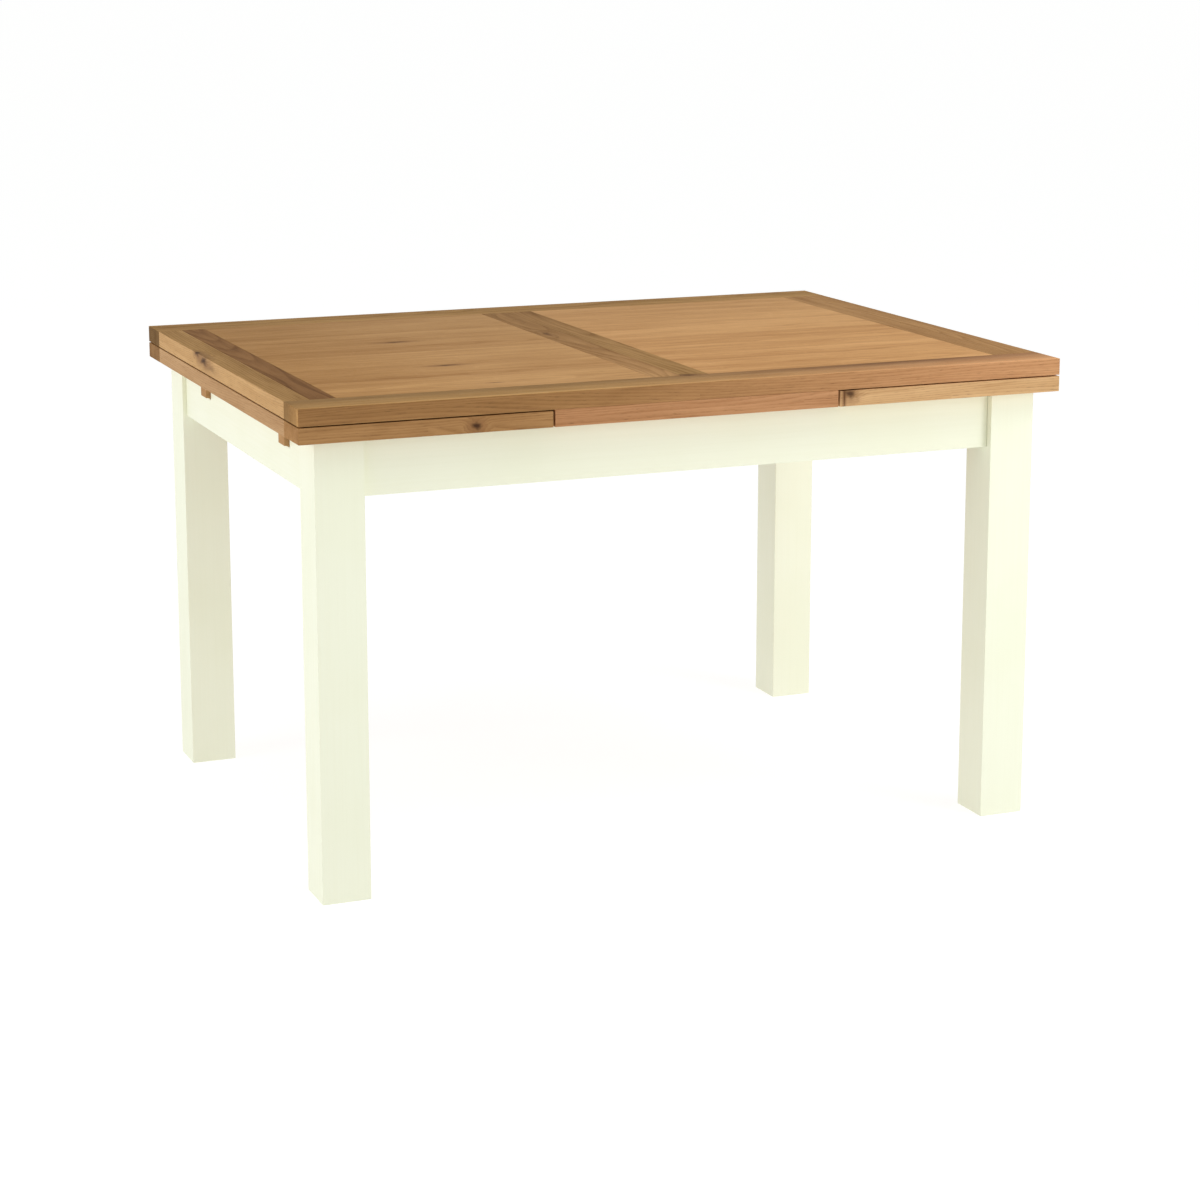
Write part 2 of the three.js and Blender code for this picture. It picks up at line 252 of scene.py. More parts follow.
def make_wood_group():
    """Solid wood: growth rings round a pith that runs along X, streaks, fibres and pores, in metres.

    The boards of a glued panel are staves side by side in Y, each cut from its own part of a log.
    """
    group, t, given, result = new_group(
        "solid_wood",
        [("Place", "NodeSocketVector"), ("Ring shift", "NodeSocketFloat"), ("Seed", "NodeSocketFloat"),
         ("Stave width", "NodeSocketFloat"), ("Stave start", "NodeSocketFloat"),
         ("Ring width", "NodeSocketFloat"), ("Light", "NodeSocketColor"), ("Deep", "NodeSocketColor"),
         ("Stave contrast", "NodeSocketFloat"), ("Streak contrast", "NodeSocketFloat"),
         ("Ring contrast", "NodeSocketFloat"), ("Pore strength", "NodeSocketFloat")],
        [("Color", "NodeSocketColor"), ("Height", "NodeSocketFloat"), ("Roughness", "NodeSocketFloat")])
    x, y, z = t.split(given["Place"])

    # Which stave a point is in, and what is drawn by lot for that stave
    stave_place = t.math("DIVIDE", t.math("SUBTRACT", y, given["Stave start"]), given["Stave width"])
    stave = t.math("FLOOR", stave_place)
    lot = t.node("ShaderNodeTexWhiteNoise", {"Vector": t.join(stave, given["Seed"], 0.0)},
                 noise_dimensions="3D")
    lot_tone = lot.outputs["Value"]
    lot_x, lot_y, lot_z = t.split(lot.outputs["Color"])

    # Log coordinates of the point: each stave starts somewhere else along the log
    along = t.math("ADD", x, t.math("MULTIPLY_ADD", lot_x, STAVE_ALONG, given["Seed"]))
    stave_middle = t.math("MULTIPLY_ADD", t.math("ADD", stave, 0.5),
                          given["Stave width"], given["Stave start"])
    across = t.math("SUBTRACT", y, stave_middle)
    log = t.join(along, t.math("ADD", across, t.math("MULTIPLY", lot_y, STAVE_ACROSS)), z)

    # The pith wanders under the face, so rings come up as long arches and straight lines
    wander = t.vector("MULTIPLY", log, WANDER_PACE)
    bend = t.vector("SUBTRACT", t.noise_vector(wander, 1.0, 2.0), (0.5, 0.5, 0.5))
    _, bend_y, bend_z = t.split(bend)
    pith_y = t.math("MULTIPLY", t.math("SUBTRACT", lot_z, 0.5), PITH_SPREAD)
    pith_z = t.math("MULTIPLY_ADD", lot_y, -PITH_DROP, PITH_HIGHEST)
    ring_y = t.math("MULTIPLY_ADD", bend_y, WANDER_SIDEWAYS, t.math("SUBTRACT", across, pith_y))
    ring_z = t.math("MULTIPLY_ADD", bend_z, WANDER_UPWARD, t.math("SUBTRACT", z, pith_z))
    radius = t.math("SQRT", t.math("ADD", t.math("MULTIPLY", ring_y, ring_y),
                                   t.math("MULTIPLY", ring_z, ring_z)))
    radius = t.math("ADD", radius, given["Ring shift"])
    uneven = t.noise(t.join(0.0, radius, given["Seed"]), UNEVEN_PACE, 1.0)
    phase = t.math("MULTIPLY_ADD", uneven, UNEVEN_RANGE, t.math("DIVIDE", radius, given["Ring width"]))
    ring = t.ramp(t.math("FRACT", phase), RING_TONES)

    # Long soft streaks of tone, fine fibres, and open pores in the early wood of each ring
    streak = t.paced_noise(log, STREAK_PACE, 3.0, 0.55)
    broad = t.paced_noise(log, BROAD_PACE, 2.0)
    mottle = t.paced_noise(log, MOTTLE_PACE, 3.0, 0.6, 0.4)
    fleck = t.fit(t.paced_noise(log, FLECK_PACE, 1.0), 0.60, 0.76)
    fibre = t.paced_noise(log, FIBRE_PACE, 2.0, 0.6)
    pore_field = t.paced_noise(log, PORE_PACE, 1.0)
    pore_share = t.math("MULTIPLY_ADD", ring, 1.0 - PORE_OUTSIDE_RINGS, PORE_OUTSIDE_RINGS)
    pore = t.math("MULTIPLY", t.fit(pore_field, 0.60, 0.72), pore_share)
    ray = t.fit(t.paced_noise(log, RAY_PACE, 1.0), 0.66, 0.74)

    # Their sum is the tone, from the light colour at 0 to the deep one at 1
    tone = t.math("MULTIPLY", t.math("SUBTRACT", lot_tone, 0.5), given["Stave contrast"])
    broad_share = t.math("MULTIPLY", t.math("SUBTRACT", broad, 0.5), 0.7)
    streaks = t.math("ADD", t.math("SUBTRACT", streak, 0.5), broad_share)
    tone = t.math("MULTIPLY_ADD", streaks, given["Streak contrast"], tone)
    tone = t.math("MULTIPLY_ADD", t.math("SUBTRACT", ring, 0.4), given["Ring contrast"], tone)
    tone = t.math("MULTIPLY_ADD", t.math("SUBTRACT", fibre, 0.5), FIBRE_TONE, tone)
    tone = t.math("MULTIPLY_ADD", t.math("SUBTRACT", mottle, 0.5), MOTTLE_TONE, tone)
    tone = t.math("MULTIPLY_ADD", fleck, FLECK_TONE, tone)
    tone = t.math("MULTIPLY_ADD", ray, RAY_TONE, tone)
    tone = t.math("ADD", tone, MIDDLE_TONE, clamp=True)
    color = t.mix(tone, given["Light"], given["Deep"])
    pores = t.math("MULTIPLY", pore, given["Pore strength"])
    color = t.mix(pores, color, PORE_COLOR)

    # A hairline where two staves meet
    edge = t.math("ABSOLUTE", t.math("SUBTRACT", t.math("FRACT", stave_place), 0.5))
    seam_start = t.math("SUBTRACT", 0.5, t.math("DIVIDE", SEAM_WIDTH, given["Stave width"]))
    seam = t.fit(edge, seam_start, 0.5)
    color = t.mix(t.math("MULTIPLY", seam, SEAM_STRENGTH), color, SEAM_COLOR)

    # Pores, seams and rings are sunk, and fibres stand up a little. Pores and deep tones are duller.
    height = t.math("MULTIPLY_ADD", pore, -1.0, t.math("MULTIPLY", fibre, FIBRE_HEIGHT))
    height = t.math("MULTIPLY_ADD", ring, RING_HEIGHT, height)
    height = t.math("MULTIPLY_ADD", seam, SEAM_HEIGHT, height)
    t.feed(result["Color"], color)
    t.feed(result["Height"], height)
    rough = t.math("MULTIPLY_ADD", pore, PORE_ROUGH, t.math("MULTIPLY", tone, TONE_ROUGH))
    t.feed(result["Roughness"], rough)
    return group


WOOD = make_wood_group()

# The axes along the grain, across it and into the board, for each direction of the grain
GRAIN_ORDER = {"X": (0, 1, 2), "Y": (1, 0, 2), "Z": (2, 0, 1)}

# A knot: its dark heart and the stained wood round it, and how far a strong one pushes the rings.
# It fades out over a span of distances, in shares of its reach, that a wobble makes uneven.
KNOT_CORE = srgb(58, 36, 24)
KNOT_CORE_SPAN = (0.10, 0.85)
KNOT_CORE_STRENGTH = 0.92
KNOT_HALO = srgb(120, 82, 52)
KNOT_HALO_SPAN = (0.4, 2.1)
KNOT_HALO_STRENGTH = 0.60
KNOT_PUSH = 0.010
KNOT_PUSH_SPAN = (0.0, 2.4)
KNOT_WOBBLE = 1.1
KNOT_WOBBLE_PACE = (1.3, 1.3, 1.3)

# The finish: how much red, green and blue end grain keeps, how much duller it is, and a thin coat
END_TINT = (1.0, 0.97, 0.95)
END_ROUGH = 0.15
WOOD_SPECULAR = 0.02
WOOD_COAT = 0.05
WOOD_COAT_ROUGH = 0.38
WOOD_BUMP = 0.35


def wood_material(name, grain, palette, contrast, *, staves=1, marks=(), drift=None, side=None,
                  side_drift=None, drift_span=(0.0, 1.0), shade=None, end_tone=0.80, roughness=0.50):
    """Wood for one CAD board. grain is the axis it runs along.

    marks are dark knots and smears: (centre, reach along the grain, reach across it, strength), in
    metres in the table's frame.
    side is the palette of the board's long side faces. By the end of drift_span, in shares of the
    length, the faces have turned to the palette drift and the sides to side_drift. shade is painted
    light across the width of the faces and the ends: painted highlight and painted shade. end_tone
    is how light the end grain is.
    """
    made, t, shader = new_material(name + "_wood")
    low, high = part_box(name)
    order = GRAIN_ORDER[grain]
    seeded = random.Random("board " + name)
    place = t.node("ShaderNodeTexCoord").outputs["Object"]
    parts = t.split(place)
    log = t.join(*[parts[axis] for axis in order])
    width = (high - low)[order[1]] / staves
    facing = t.split(t.node("ShaderNodeTexCoord").outputs["Normal"])
    is_end = t.fit(t.math("ABSOLUTE", facing[order[0]]), 0.6, 0.9)
    is_side = t.fit(t.math("ABSOLUTE", facing[order[1]]), 0.6, 0.9)
    start, length = low[order[0]], (high - low)[order[0]]
    along = t.fit(parts[order[0]], *[start + share * length for share in drift_span])

    def blended(factor, first, second):
        return [t.mix(factor, *pair) for pair in zip(first, second)]

    faces = blended(along, palette, drift) if drift else palette
    sides = blended(along, side, side_drift) if side_drift else side
    light, deep = blended(is_side, faces, sides) if side else faces

    shift = 0.0
    spots = []
    for centre, reach_along, reach_across, strength in marks:
        away = t.vector("SUBTRACT", place, centre)
        reach = [reach_across] * 3
        reach[order[0]] = reach_along
        scaled = t.vector("DIVIDE", away, tuple(reach))
        wobble = t.paced_noise(scaled, KNOT_WOBBLE_PACE, 3.0)
        wobble = t.math("MULTIPLY_ADD", wobble, KNOT_WOBBLE, -KNOT_WOBBLE / 2)
        distance = t.math("ADD", t.vector("LENGTH", scaled), wobble)
        near = t.fit(distance, *KNOT_PUSH_SPAN, 1.0, 0.0)
        shift = t.math("MULTIPLY_ADD", near, KNOT_PUSH * strength, shift)
        spots.append((distance, strength))

    group = t.node("ShaderNodeGroup", node_tree=WOOD)
    settings = {
        "Place": log, "Ring shift": shift, "Seed": seeded.uniform(2.0, 60.0),
        "Stave width": width, "Stave start": low[order[1]], "Ring width": RING_WIDTH,
        "Light": light, "Deep": deep,
        "Stave contrast": contrast["stave"], "Streak contrast": contrast["streak"],
        "Ring contrast": contrast["ring"], "Pore strength": contrast["pore"],
    }
    for key, value in settings.items():
        t.feed(group.inputs[key], value)
    color = group.outputs["Color"]
    # Painted highlight and painted shade across the width, on the faces and the ends
    if shade:
        across = t.fit(parts[order[1]], low[order[1]], high[order[1]], smooth=False)
        on_face = t.math("SUBTRACT", 1.0, is_side)
        color = t.mix(on_face, color, t.ramp(across, shade), "MULTIPLY")
    for distance, strength in spots:
        halo = t.fit(distance, *KNOT_HALO_SPAN, KNOT_HALO_STRENGTH * strength, 0.0)
        color = t.mix(halo, color, KNOT_HALO)
        core = t.fit(distance, *KNOT_CORE_SPAN, KNOT_CORE_STRENGTH * strength, 0.0)
        color = t.mix(core, color, KNOT_CORE)

    # End grain drinks more finish, so it is deeper and duller than the faces
    ended = t.mix(1.0, color, (*[end_tone * tint for tint in END_TINT], 1.0), "MULTIPLY")
    color = t.mix(is_end, color, ended)
    t.feed(shader.inputs["Base Color"], color)
    rough = t.math("MULTIPLY_ADD", is_end, END_ROUGH, t.math("ADD", group.outputs["Roughness"], roughness))
    t.feed(shader.inputs["Roughness"], rough)
    shader.inputs["Specular IOR Level"].default_value = WOOD_SPECULAR
    shader.inputs["Coat Weight"].default_value = WOOD_COAT
    shader.inputs["Coat Roughness"].default_value = WOOD_COAT_ROUGH
    t.bump(shader, group.outputs["Height"], WOOD_BUMP, BUMP_DEEP)
    return made


def dress(name, material):
    """Gives a CAD node its material."""
    mesh = NODES[name].data
    mesh.materials.clear()
    mesh.materials.append(material)


def ease_edges(name, width, segments=3):
    """Rounds the edges of a CAD node with modifiers, as sanding or paint does. Its mesh stays."""
    node = NODES[name]
    weld = node.modifiers.new("weld", "WELD")
    weld.merge_threshold = 1e-6
    bevel = node.modifiers.new("ease", "BEVEL")
    bevel.width = width
    bevel.segments = segments
    bevel.limit_method = "ANGLE"
    bevel.angle_limit = math.radians(35)
    bevel.harden_normals = True


# How wide the rounded edges are, in metres
TOP_EASE = 0.0006
INNER_EASE = 0.0010
PEG_EASE = 0.0008
PAINT_EASE = 0.0018

# Each palette is the light and the deep tone of a board, or of one end or side of a board
PANEL = (srgb(216, 168, 112), srgb(164, 116, 68))
EDGE = (srgb(196, 150, 98), srgb(142, 100, 56))
OLIVE = (srgb(188, 146, 91), srgb(136, 98, 52))
RED_DARK = (srgb(152, 108, 62), srgb(97, 61, 31))
UMBER = (srgb(171, 128, 78), srgb(119, 83, 45))
# A darker copy of the panel tone: painted shade on the left part of the top
PANEL_PAINTED_DIM = (srgb(202, 153, 96), srgb(153, 106, 58))
# A lighter copy of the panel tone: painted light on the right panel
PANEL_PAINTED_BRIGHT = (srgb(228, 176, 118), srgb(174, 122, 72))
EDGE_DEEP = (srgb(189, 144, 93), srgb(136, 95, 52))
FRONT_LEFT = (srgb(222, 175, 113), srgb(164, 119, 65))
FRONT_RIGHT = (srgb(243, 185, 131), srgb(192, 131, 84))
FRONT_SIDE_LEFT = (srgb(177, 132, 82), srgb(128, 88, 47))
FRONT_SIDE_RIGHT = (srgb(223, 168, 119), srgb(174, 118, 75))
# A lighter tone for the top's left outer strip's end face: painted light from the left
GOLD_PAINTED_LIGHT = (srgb(228, 184, 126), srgb(182, 136, 84))
TAN = (srgb(216, 174, 126), srgb(172, 128, 84))
ROSE = (srgb(216, 162, 116), srgb(168, 114, 72))
STRAW = (srgb(238, 196, 144), srgb(188, 142, 92))
BEECH = (srgb(206, 166, 118), srgb(168, 124, 80))

# How much the tone varies from stave to stave, in streaks and in rings, and how dark the pores are
SOFT = {"stave": 0.26, "streak": 0.85, "ring": 0.20, "pore": 0.35}
LIVELY = {"stave": 0.0, "streak": 1.05, "ring": 0.35, "pore": 0.60}

# Painted light across a board's width, from its front edge: a painted highlight along the front
# rail's outer edge, past which the rail darkens towards the panels, and painted shade that darkens
# the panels towards the back
FRONT_PAINTED_HIGHLIGHT = [(0.0, 1.0), (0.09, 0.97), (0.15, 0.80), (0.45, 0.74), (0.70, 0.58), (1.0, 0.54)]
PANEL_PAINTED_SHADE = [(0.0, 1.0), (0.4, 0.97), (1.0, 0.84)]

# Grain direction, palette and contrast of each board, and what else sets it apart
BOARDS = {
    "top_rail_front": ("X", FRONT_LEFT, LIVELY,
                       {"drift": FRONT_RIGHT, "side": FRONT_SIDE_LEFT, "side_drift": FRONT_SIDE_RIGHT,
                        "drift_span": (0.28, 1.0), "shade": FRONT_PAINTED_HIGHLIGHT}),
    "top_rail_back": ("X", OLIVE, LIVELY, {"end_tone": 0.42}),
    "top_outer_strip_left": ("Y", OLIVE, LIVELY, {"side": GOLD_PAINTED_LIGHT}),
    "top_inner_strip_left": ("Y", RED_DARK, LIVELY, {}),
    "top_inner_strip_right": ("Y", EDGE_DEEP, LIVELY, {}),
    "top_outer_strip_right": ("Y", EDGE_DEEP, LIVELY, {}),
    "top_middle_strip_left": ("Y", EDGE, LIVELY, {"drift": UMBER}),
    "top_middle_strip_right": ("Y", OLIVE, LIVELY, {"drift": UMBER}),
    "top_panel_left": ("X", PANEL_PAINTED_DIM, SOFT,
                       {"staves": 6, "drift": PANEL, "drift_span": (0.05, 0.65), "shade": PANEL_PAINTED_SHADE}),
    "top_panel_right": ("X", PANEL_PAINTED_BRIGHT, SOFT, {"staves": 6, "shade": PANEL_PAINTED_SHADE}),
    "centre_board": ("X", ROSE, LIVELY, {"staves": 7}),
    "left_leaf_rail_front": ("X", EDGE, LIVELY, {}),
    "left_leaf_rail_back": ("X", EDGE, LIVELY, {"end_tone": 0.55}),
    "left_leaf_outer_strip": ("Y", TAN, LIVELY, {}),
    "left_leaf_inner_strip": ("Y", EDGE, LIVELY, {}),
    "left_leaf_panel": ("X", PANEL, SOFT, {"staves": 6}),
    "right_leaf_rail_front": ("X", STRAW, LIVELY, {}),
    "right_leaf_rail_back": ("X", EDGE, LIVELY, {}),
    "right_leaf_outer_strip": ("Y", EDGE, LIVELY, {}),
    "right_leaf_inner_strip": ("Y", EDGE, LIVELY, {}),
    "right_leaf_panel": ("X", PANEL, SOFT, {"staves": 6}),
}

# Knots and smears: centre, reach along the grain, reach across it, and strength
TOP_Z = HIGH.z
FRONT_Y = LOW.y
MARKS = {
    "top_panel_left": [
        ((-0.304, 0.117, TOP_Z), 0.030, 0.0085, 0.80),
        ((-0.306, -0.157, TOP_Z), 0.030, 0.0075, 0.85),
        ((-0.294, -0.350, TOP_Z), 0.016, 0.0040, 0.50),
    ],
    "top_outer_strip_left": [
        ((LOW.x, 0.126, TOP_Z), 0.021, 0.009, 1.0),
        ((LOW.x, 0.080, TOP_Z - 0.008), 0.034, 0.011, 0.95),
        ((LOW.x, 0.030, TOP_Z - 0.014), 0.040, 0.008, 0.30),
    ],
    "left_leaf_rail_front": [((-0.369, FRONT_Y, 0.736), 0.012, 0.010, 1.0)],
    "right_leaf_rail_front": [
        ((0.252, FRONT_Y, 0.741), 0.003, 0.040, 0.95),
        ((0.262, FRONT_Y, 0.745), 0.014, 0.012, 0.90),
    ],
    "top_rail_front": [
        ((0.37, -0.405, TOP_Z), 0.260, 0.0230, 0.36),
        ((0.015, -0.397, TOP_Z), 0.017, 0.007, 0.85),
    ],
    "top_middle_strip_right": [((0.000, -0.392, TOP_Z), 0.006, 0.028, 1.0)],
    "top_middle_strip_left": [((-0.030, 0.110, TOP_Z), 0.028, 0.007, 0.55)],
}

for board, (grain, palette, contrast, more) in BOARDS.items():
    dress(board, wood_material(board, grain, palette, contrast, marks=MARKS.get(board, ()), **more))
    ease_edges(board, TOP_EASE)

for node in NODES:
    if "runner" in node or "leaf_stop" in node:
        dress(node, wood_material(node, "X", BEECH, SOFT, roughness=0.55))
        ease_edges(node, INNER_EASE)
    elif node.startswith(("guide_rail", "corner_block")):
        dress(node, wood_material(node, "Y", BEECH, SOFT, roughness=0.6))
        ease_edges(node, INNER_EASE)
    elif node.startswith(("top_peg", "peg_disc")):
        dress(node, wood_material(node, "Z", BEECH, SOFT, roughness=0.6))
        ease_edges(node, PEG_EASE)


# ---- Cream paint ----

CREAM = srgb(237, 239, 218)
CREAM_CLOUD = srgb(235, 237, 214)
CREAM_STROKE = srgb(230, 231, 205)
STROKE_PACE = (5.0, 260.0, 260.0)
PAINTED_GRAIN_PACE = (9.0, 620.0, 620.0)
PAINTED_GRAIN_HEIGHT = 0.35  # beside a brush stroke's
CLOUD_PACE = 6.0
STROKE_STRENGTH = 0.18
PAINT_ROUGH = (0.34, 0.46)
PAINT_SPECULAR = 0.22
PAINT_BUMP = 0.12
PAINTED = {"leg": "Z", "side_rail": "X", "end_rail": "Y"}


def paint_material(name, grain):
    """Satin cream paint, brushed along the wood, over a faint grain."""
    made, t, shader = new_material(name + "_paint")
    order = GRAIN_ORDER[grain]
    seed = random.Random("paint " + name).uniform(1.0, 40.0)
    parts = t.split(t.node("ShaderNodeTexCoord").outputs["Object"])
    log = t.vector("ADD", t.join(*[parts[axis] for axis in order]), (seed, seed, 0.0))
    strokes = t.paced_noise(log, STROKE_PACE, 3.0, 0.6)
    grain_lines = t.paced_noise(log, PAINTED_GRAIN_PACE, 1.0)
    cloud = t.noise(log, CLOUD_PACE, 2.0)
    color = t.mix(t.fit(cloud, 0.3, 0.7), CREAM, CREAM_CLOUD)
    color = t.mix(t.fit(strokes, 0.35, 0.75, 0.0, STROKE_STRENGTH), color, CREAM_STROKE)
    t.feed(shader.inputs["Base Color"], color)
    t.feed(shader.inputs["Roughness"], t.fit(strokes, 0.3, 0.7, *PAINT_ROUGH))
    shader.inputs["Specular IOR Level"].default_value = PAINT_SPECULAR
    height = t.math("MULTIPLY_ADD", grain_lines, PAINTED_GRAIN_HEIGHT, strokes)
    t.bump(shader, height, PAINT_BUMP, BUMP_DEEP)
    return made


for node in NODES:
    for start, grain in PAINTED.items():
        if node.startswith(start + "_") and not node.startswith(("leg_bolt", "leg_nut")):
            dress(node, paint_material(node, grain))
            ease_edges(node, PAINT_EASE, 4)


# ---- Metal and felt ----

ZINC_DARK = srgb(176, 178, 178)
ZINC_LIGHT = srgb(206, 206, 200)
ZINC_ROUGH = (0.28, 0.46)
SPANGLE_PACE = 900.0
SPANGLE_BUMP = 0.15
SPANGLE_DEEP = 0.0001
FELT_DARK = srgb(70, 67, 62)
FELT_LIGHT = srgb(112, 108, 100)
FELT_CLUMP = srgb(86, 80, 72)
FLUFF_PACE = 2600.0
CLUMP_PACE = 260.0
CLUMP_STRENGTH = 0.4
FELT_ROUGH = 0.95
FELT_SHEEN = 0.35
FELT_BUMP = 0.8


def zinc_material():
    """Zinc plate on steel, with a fine spangle."""
    made, t, shader = new_material("zinc_plate")
    place = t.node("ShaderNodeTexCoord").outputs["Object"]
    spangle = t.noise(place, SPANGLE_PACE, 3.0, 0.6)
    t.feed(shader.inputs["Base Color"], t.mix(spangle, ZINC_DARK, ZINC_LIGHT))
    shader.inputs["Metallic"].default_value = 1.0
    t.feed(shader.inputs["Roughness"], t.fit(spangle, 0.3, 0.7, *ZINC_ROUGH))
    t.bump(shader, spangle, SPANGLE_BUMP, SPANGLE_DEEP)
    return made


def felt_material():
    """Grey wool felt: fine fluff over soft clumps."""
    made, t, shader = new_material("grey_felt")
    place = t.node("ShaderNodeTexCoord").outputs["Object"]
    fluff = t.noise(place, FLUFF_PACE, 4.0, 0.7, 0.6)
    clump = t.noise(place, CLUMP_PACE, 2.0)
    color = t.mix(t.fit(fluff, 0.3, 0.7), FELT_DARK, FELT_LIGHT)
    color = t.mix(t.fit(clump, 0.4, 0.7, 0.0, CLUMP_STRENGTH), color, FELT_CLUMP)
    t.feed(shader.inputs["Base Color"], color)
    shader.inputs["Roughness"].default_value = FELT_ROUGH
    shader.inputs["Sheen Weight"].default_value = FELT_SHEEN
    t.bump(shader, fluff, FELT_BUMP, BUMP_DEEP)
    return made


ZINC = zinc_material()
FELT = felt_material()


def loft(name, rings, material, node, closed=False):
    """A closed body through rings of points. It takes the place of a CAD node, on the same body.

    The two end rings are capped, or joined to each other where the body is a closed loop.
    """
    mesh = bpy.data.meshes.new(name)
    piece = bpy.data.objects.new(name, mesh)
    bpy.context.scene.collection.objects.link(piece)
    build = bmesh.new()
    made = [[build.verts.new(point) for point in ring] for ring in rings]
    pairs = list(zip(made, made[1:] + made[:1])) if closed else list(zip(made, made[1:]))
    for first, second in pairs:
        for i in range(len(first)):
            j = (i + 1) % len(first)
            build.faces.new((first[i], first[j], second[j], second[i]))
    if not closed:
        build.faces.new(reversed(made[0]))
        build.faces.new(made[-1])
    bmesh.ops.recalc_face_normals(build, faces=build.faces)
    for face in build.faces:
        face.smooth = True
    build.to_mesh(mesh)
    build.free()
    mesh.set_sharp_from_angle(angle=math.radians(30))
    mesh.materials.append(material)
    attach(piece, NODES[node].parent.name.removeprefix("body:"))
    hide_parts(node)


def turned(profile, along, across, origin, sides, swell=None):
    """Rings of a body of revolution. profile is a list of (place along the axis, radius).

    swell adds to the radius at a place along the axis and an angle round it.
    """
    upward = along.cross(across)
    rings = []
    for place, radius in profile:
        ring = []
        for i in range(sides):
            angle = math.tau * i / sides
            reach = radius + (swell(place, angle) if swell else 0.0)
            spoke = across * math.cos(angle) + upward * math.sin(angle)
            ring.append(origin + along * place + spoke * reach)
        rings.append(ring)
    return rings


UP = Vector((0.0, 0.0, 1.0))

# Leg bolt and nut, in metres
BOLT_SIDES = 24
BOLT_PITCH = 0.00125
STEPS_PER_TURN = 8
THREAD_START = 0.0011
THREAD_LONG = 0.030
THREAD_DEEP = 0.0008
THREAD_RUN_OUT = 0.003
SHANK_INSET = 0.0001
NUT_SIDES = 96
NUT_BORE = 0.0041
NUT_LEAD_IN = 0.0004
NUT_FACE = 0.95  # share of the way out to a flat where the turned-down corners start
NUT_CHAMFER = math.tan(math.radians(30))

# Peg screw, in metres. The recess has steps of (share of its outline, depth), from floor to mouth.
SCREW_SIDES = 96
SCREW_HEAD_TALL = 0.003
SCREW_CORE = 0.0019
SCREW_TIP = 0.0003
SCREW_POINT = 0.006
SCREW_CROWN = 0.55  # share of the head's height by which its middle stands out past its rim
RECESS_ARM = 0.0026
RECESS_WIDTH = 0.0011
RECESS_STEPS = ((0.25, 0.0019), (0.62, 0.0016), (0.90, 0.0007), (1.0, 0.0))
HEAD_STEPS = (0.15, 0.45, 0.75)  # shares of the way from the recess out to the rim

# Felt strip, in metres
FELT_SIDES = 28
FELT_ROWS = 260
FELT_INSET = 0.0002
FELT_INSET_UP = 0.0001
FELT_NAP = 0.00006
FELT_END_ROWS = 1.5
FELT_END_SQUEEZE = 0.93
FELT_SQUARE_X = 0.22  # powers that turn the round section into one with soft corners
FELT_SQUARE_Z = 0.45


def corner_axis(node):
    """The diagonal of a corner's bolt or nut, pointing out to the leg, its middle and its box's size."""
    low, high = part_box(node)
    middle = (low + high) / 2
    outward = Vector((math.copysign(1.0, middle.x), math.copysign(1.0, middle.y), 0.0)).normalized()
    return outward, middle, high - low


def add_bolt(node):
    """A leg bolt: a plain shank in the leg, and a machine thread on the tail that carries the nut."""
    along, middle, size = corner_axis(node)
    radius = size.z / 2
    length = size.x * math.sqrt(2) - size.z
    start = middle - along * (length / 2)

    def thread(place, angle):
        if not 0.001 < place < THREAD_LONG:
            return 0.0
        turn = (place / BOLT_PITCH - angle / math.tau) % 1.0
        run_out = min(1.0, (THREAD_LONG - place) / THREAD_RUN_OUT)
        return -THREAD_DEEP * run_out * (1.0 - abs(2.0 * turn - 1.0))

    full = radius - SHANK_INSET
    profile = [(0.0, radius - 0.0011), (0.0010, radius - 0.0003)]
    steps = round(THREAD_LONG / BOLT_PITCH * STEPS_PER_TURN)
    threaded = THREAD_LONG - THREAD_START
    profile += [(THREAD_START + threaded * i / steps, full) for i in range(steps + 1)]
    profile += [(length - 0.002, full), (length, radius - 0.0015)]
    rings = turned(profile, along, UP, start, BOLT_SIDES, thread)
    loft(node.replace("leg_bolt", "threaded_bolt"), rings, ZINC, node)


def add_nut(node):
    """A hexagon nut with its corners turned down on both faces and a lead-in to its bore."""
    along, middle, size = corner_axis(node)
    half_flat = size.z / 2 * math.cos(math.radians(30))
    thick = size.x * math.sqrt(2) - 2 * half_flat
    face = half_flat * NUT_FACE
    level = along.cross(UP)
    rings = []
    for i in range(NUT_SIDES):
        angle = math.tau * i / NUT_SIDES
        from_corner = (angle + math.radians(30)) % math.radians(60) - math.radians(30)
        reach = half_flat / math.cos(math.radians(30) - abs(from_corner))
        down = max(0.0, reach - face) * NUT_CHAMFER
        profile = [(NUT_BORE, NUT_LEAD_IN), (NUT_BORE + NUT_LEAD_IN, 0.0), (face, 0.0), (reach, down),
                   (reach, thick - down), (face, thick), (NUT_BORE + NUT_LEAD_IN, thick),
                   (NUT_BORE, thick - NUT_LEAD_IN)]
        spoke = UP * math.cos(angle) + level * math.sin(angle)
        rings.append([middle + along * (place - thick / 2) + spoke * radius for radius, place in profile])
    loft(node.replace("leg_nut", "hexagon_nut"), rings, ZINC, node, closed=True)


def cross_outline(angle):
    """How far the cross recess reaches from its middle, in the direction of an angle."""
    from_arm = (angle + math.radians(45)) % math.radians(90) - math.radians(45)
    sideways = abs(math.sin(from_arm))
    beside = RECESS_WIDTH / 2 / sideways if sideways > 1e-6 else RECESS_ARM
    return min(RECESS_ARM / math.cos(from_arm), beside)


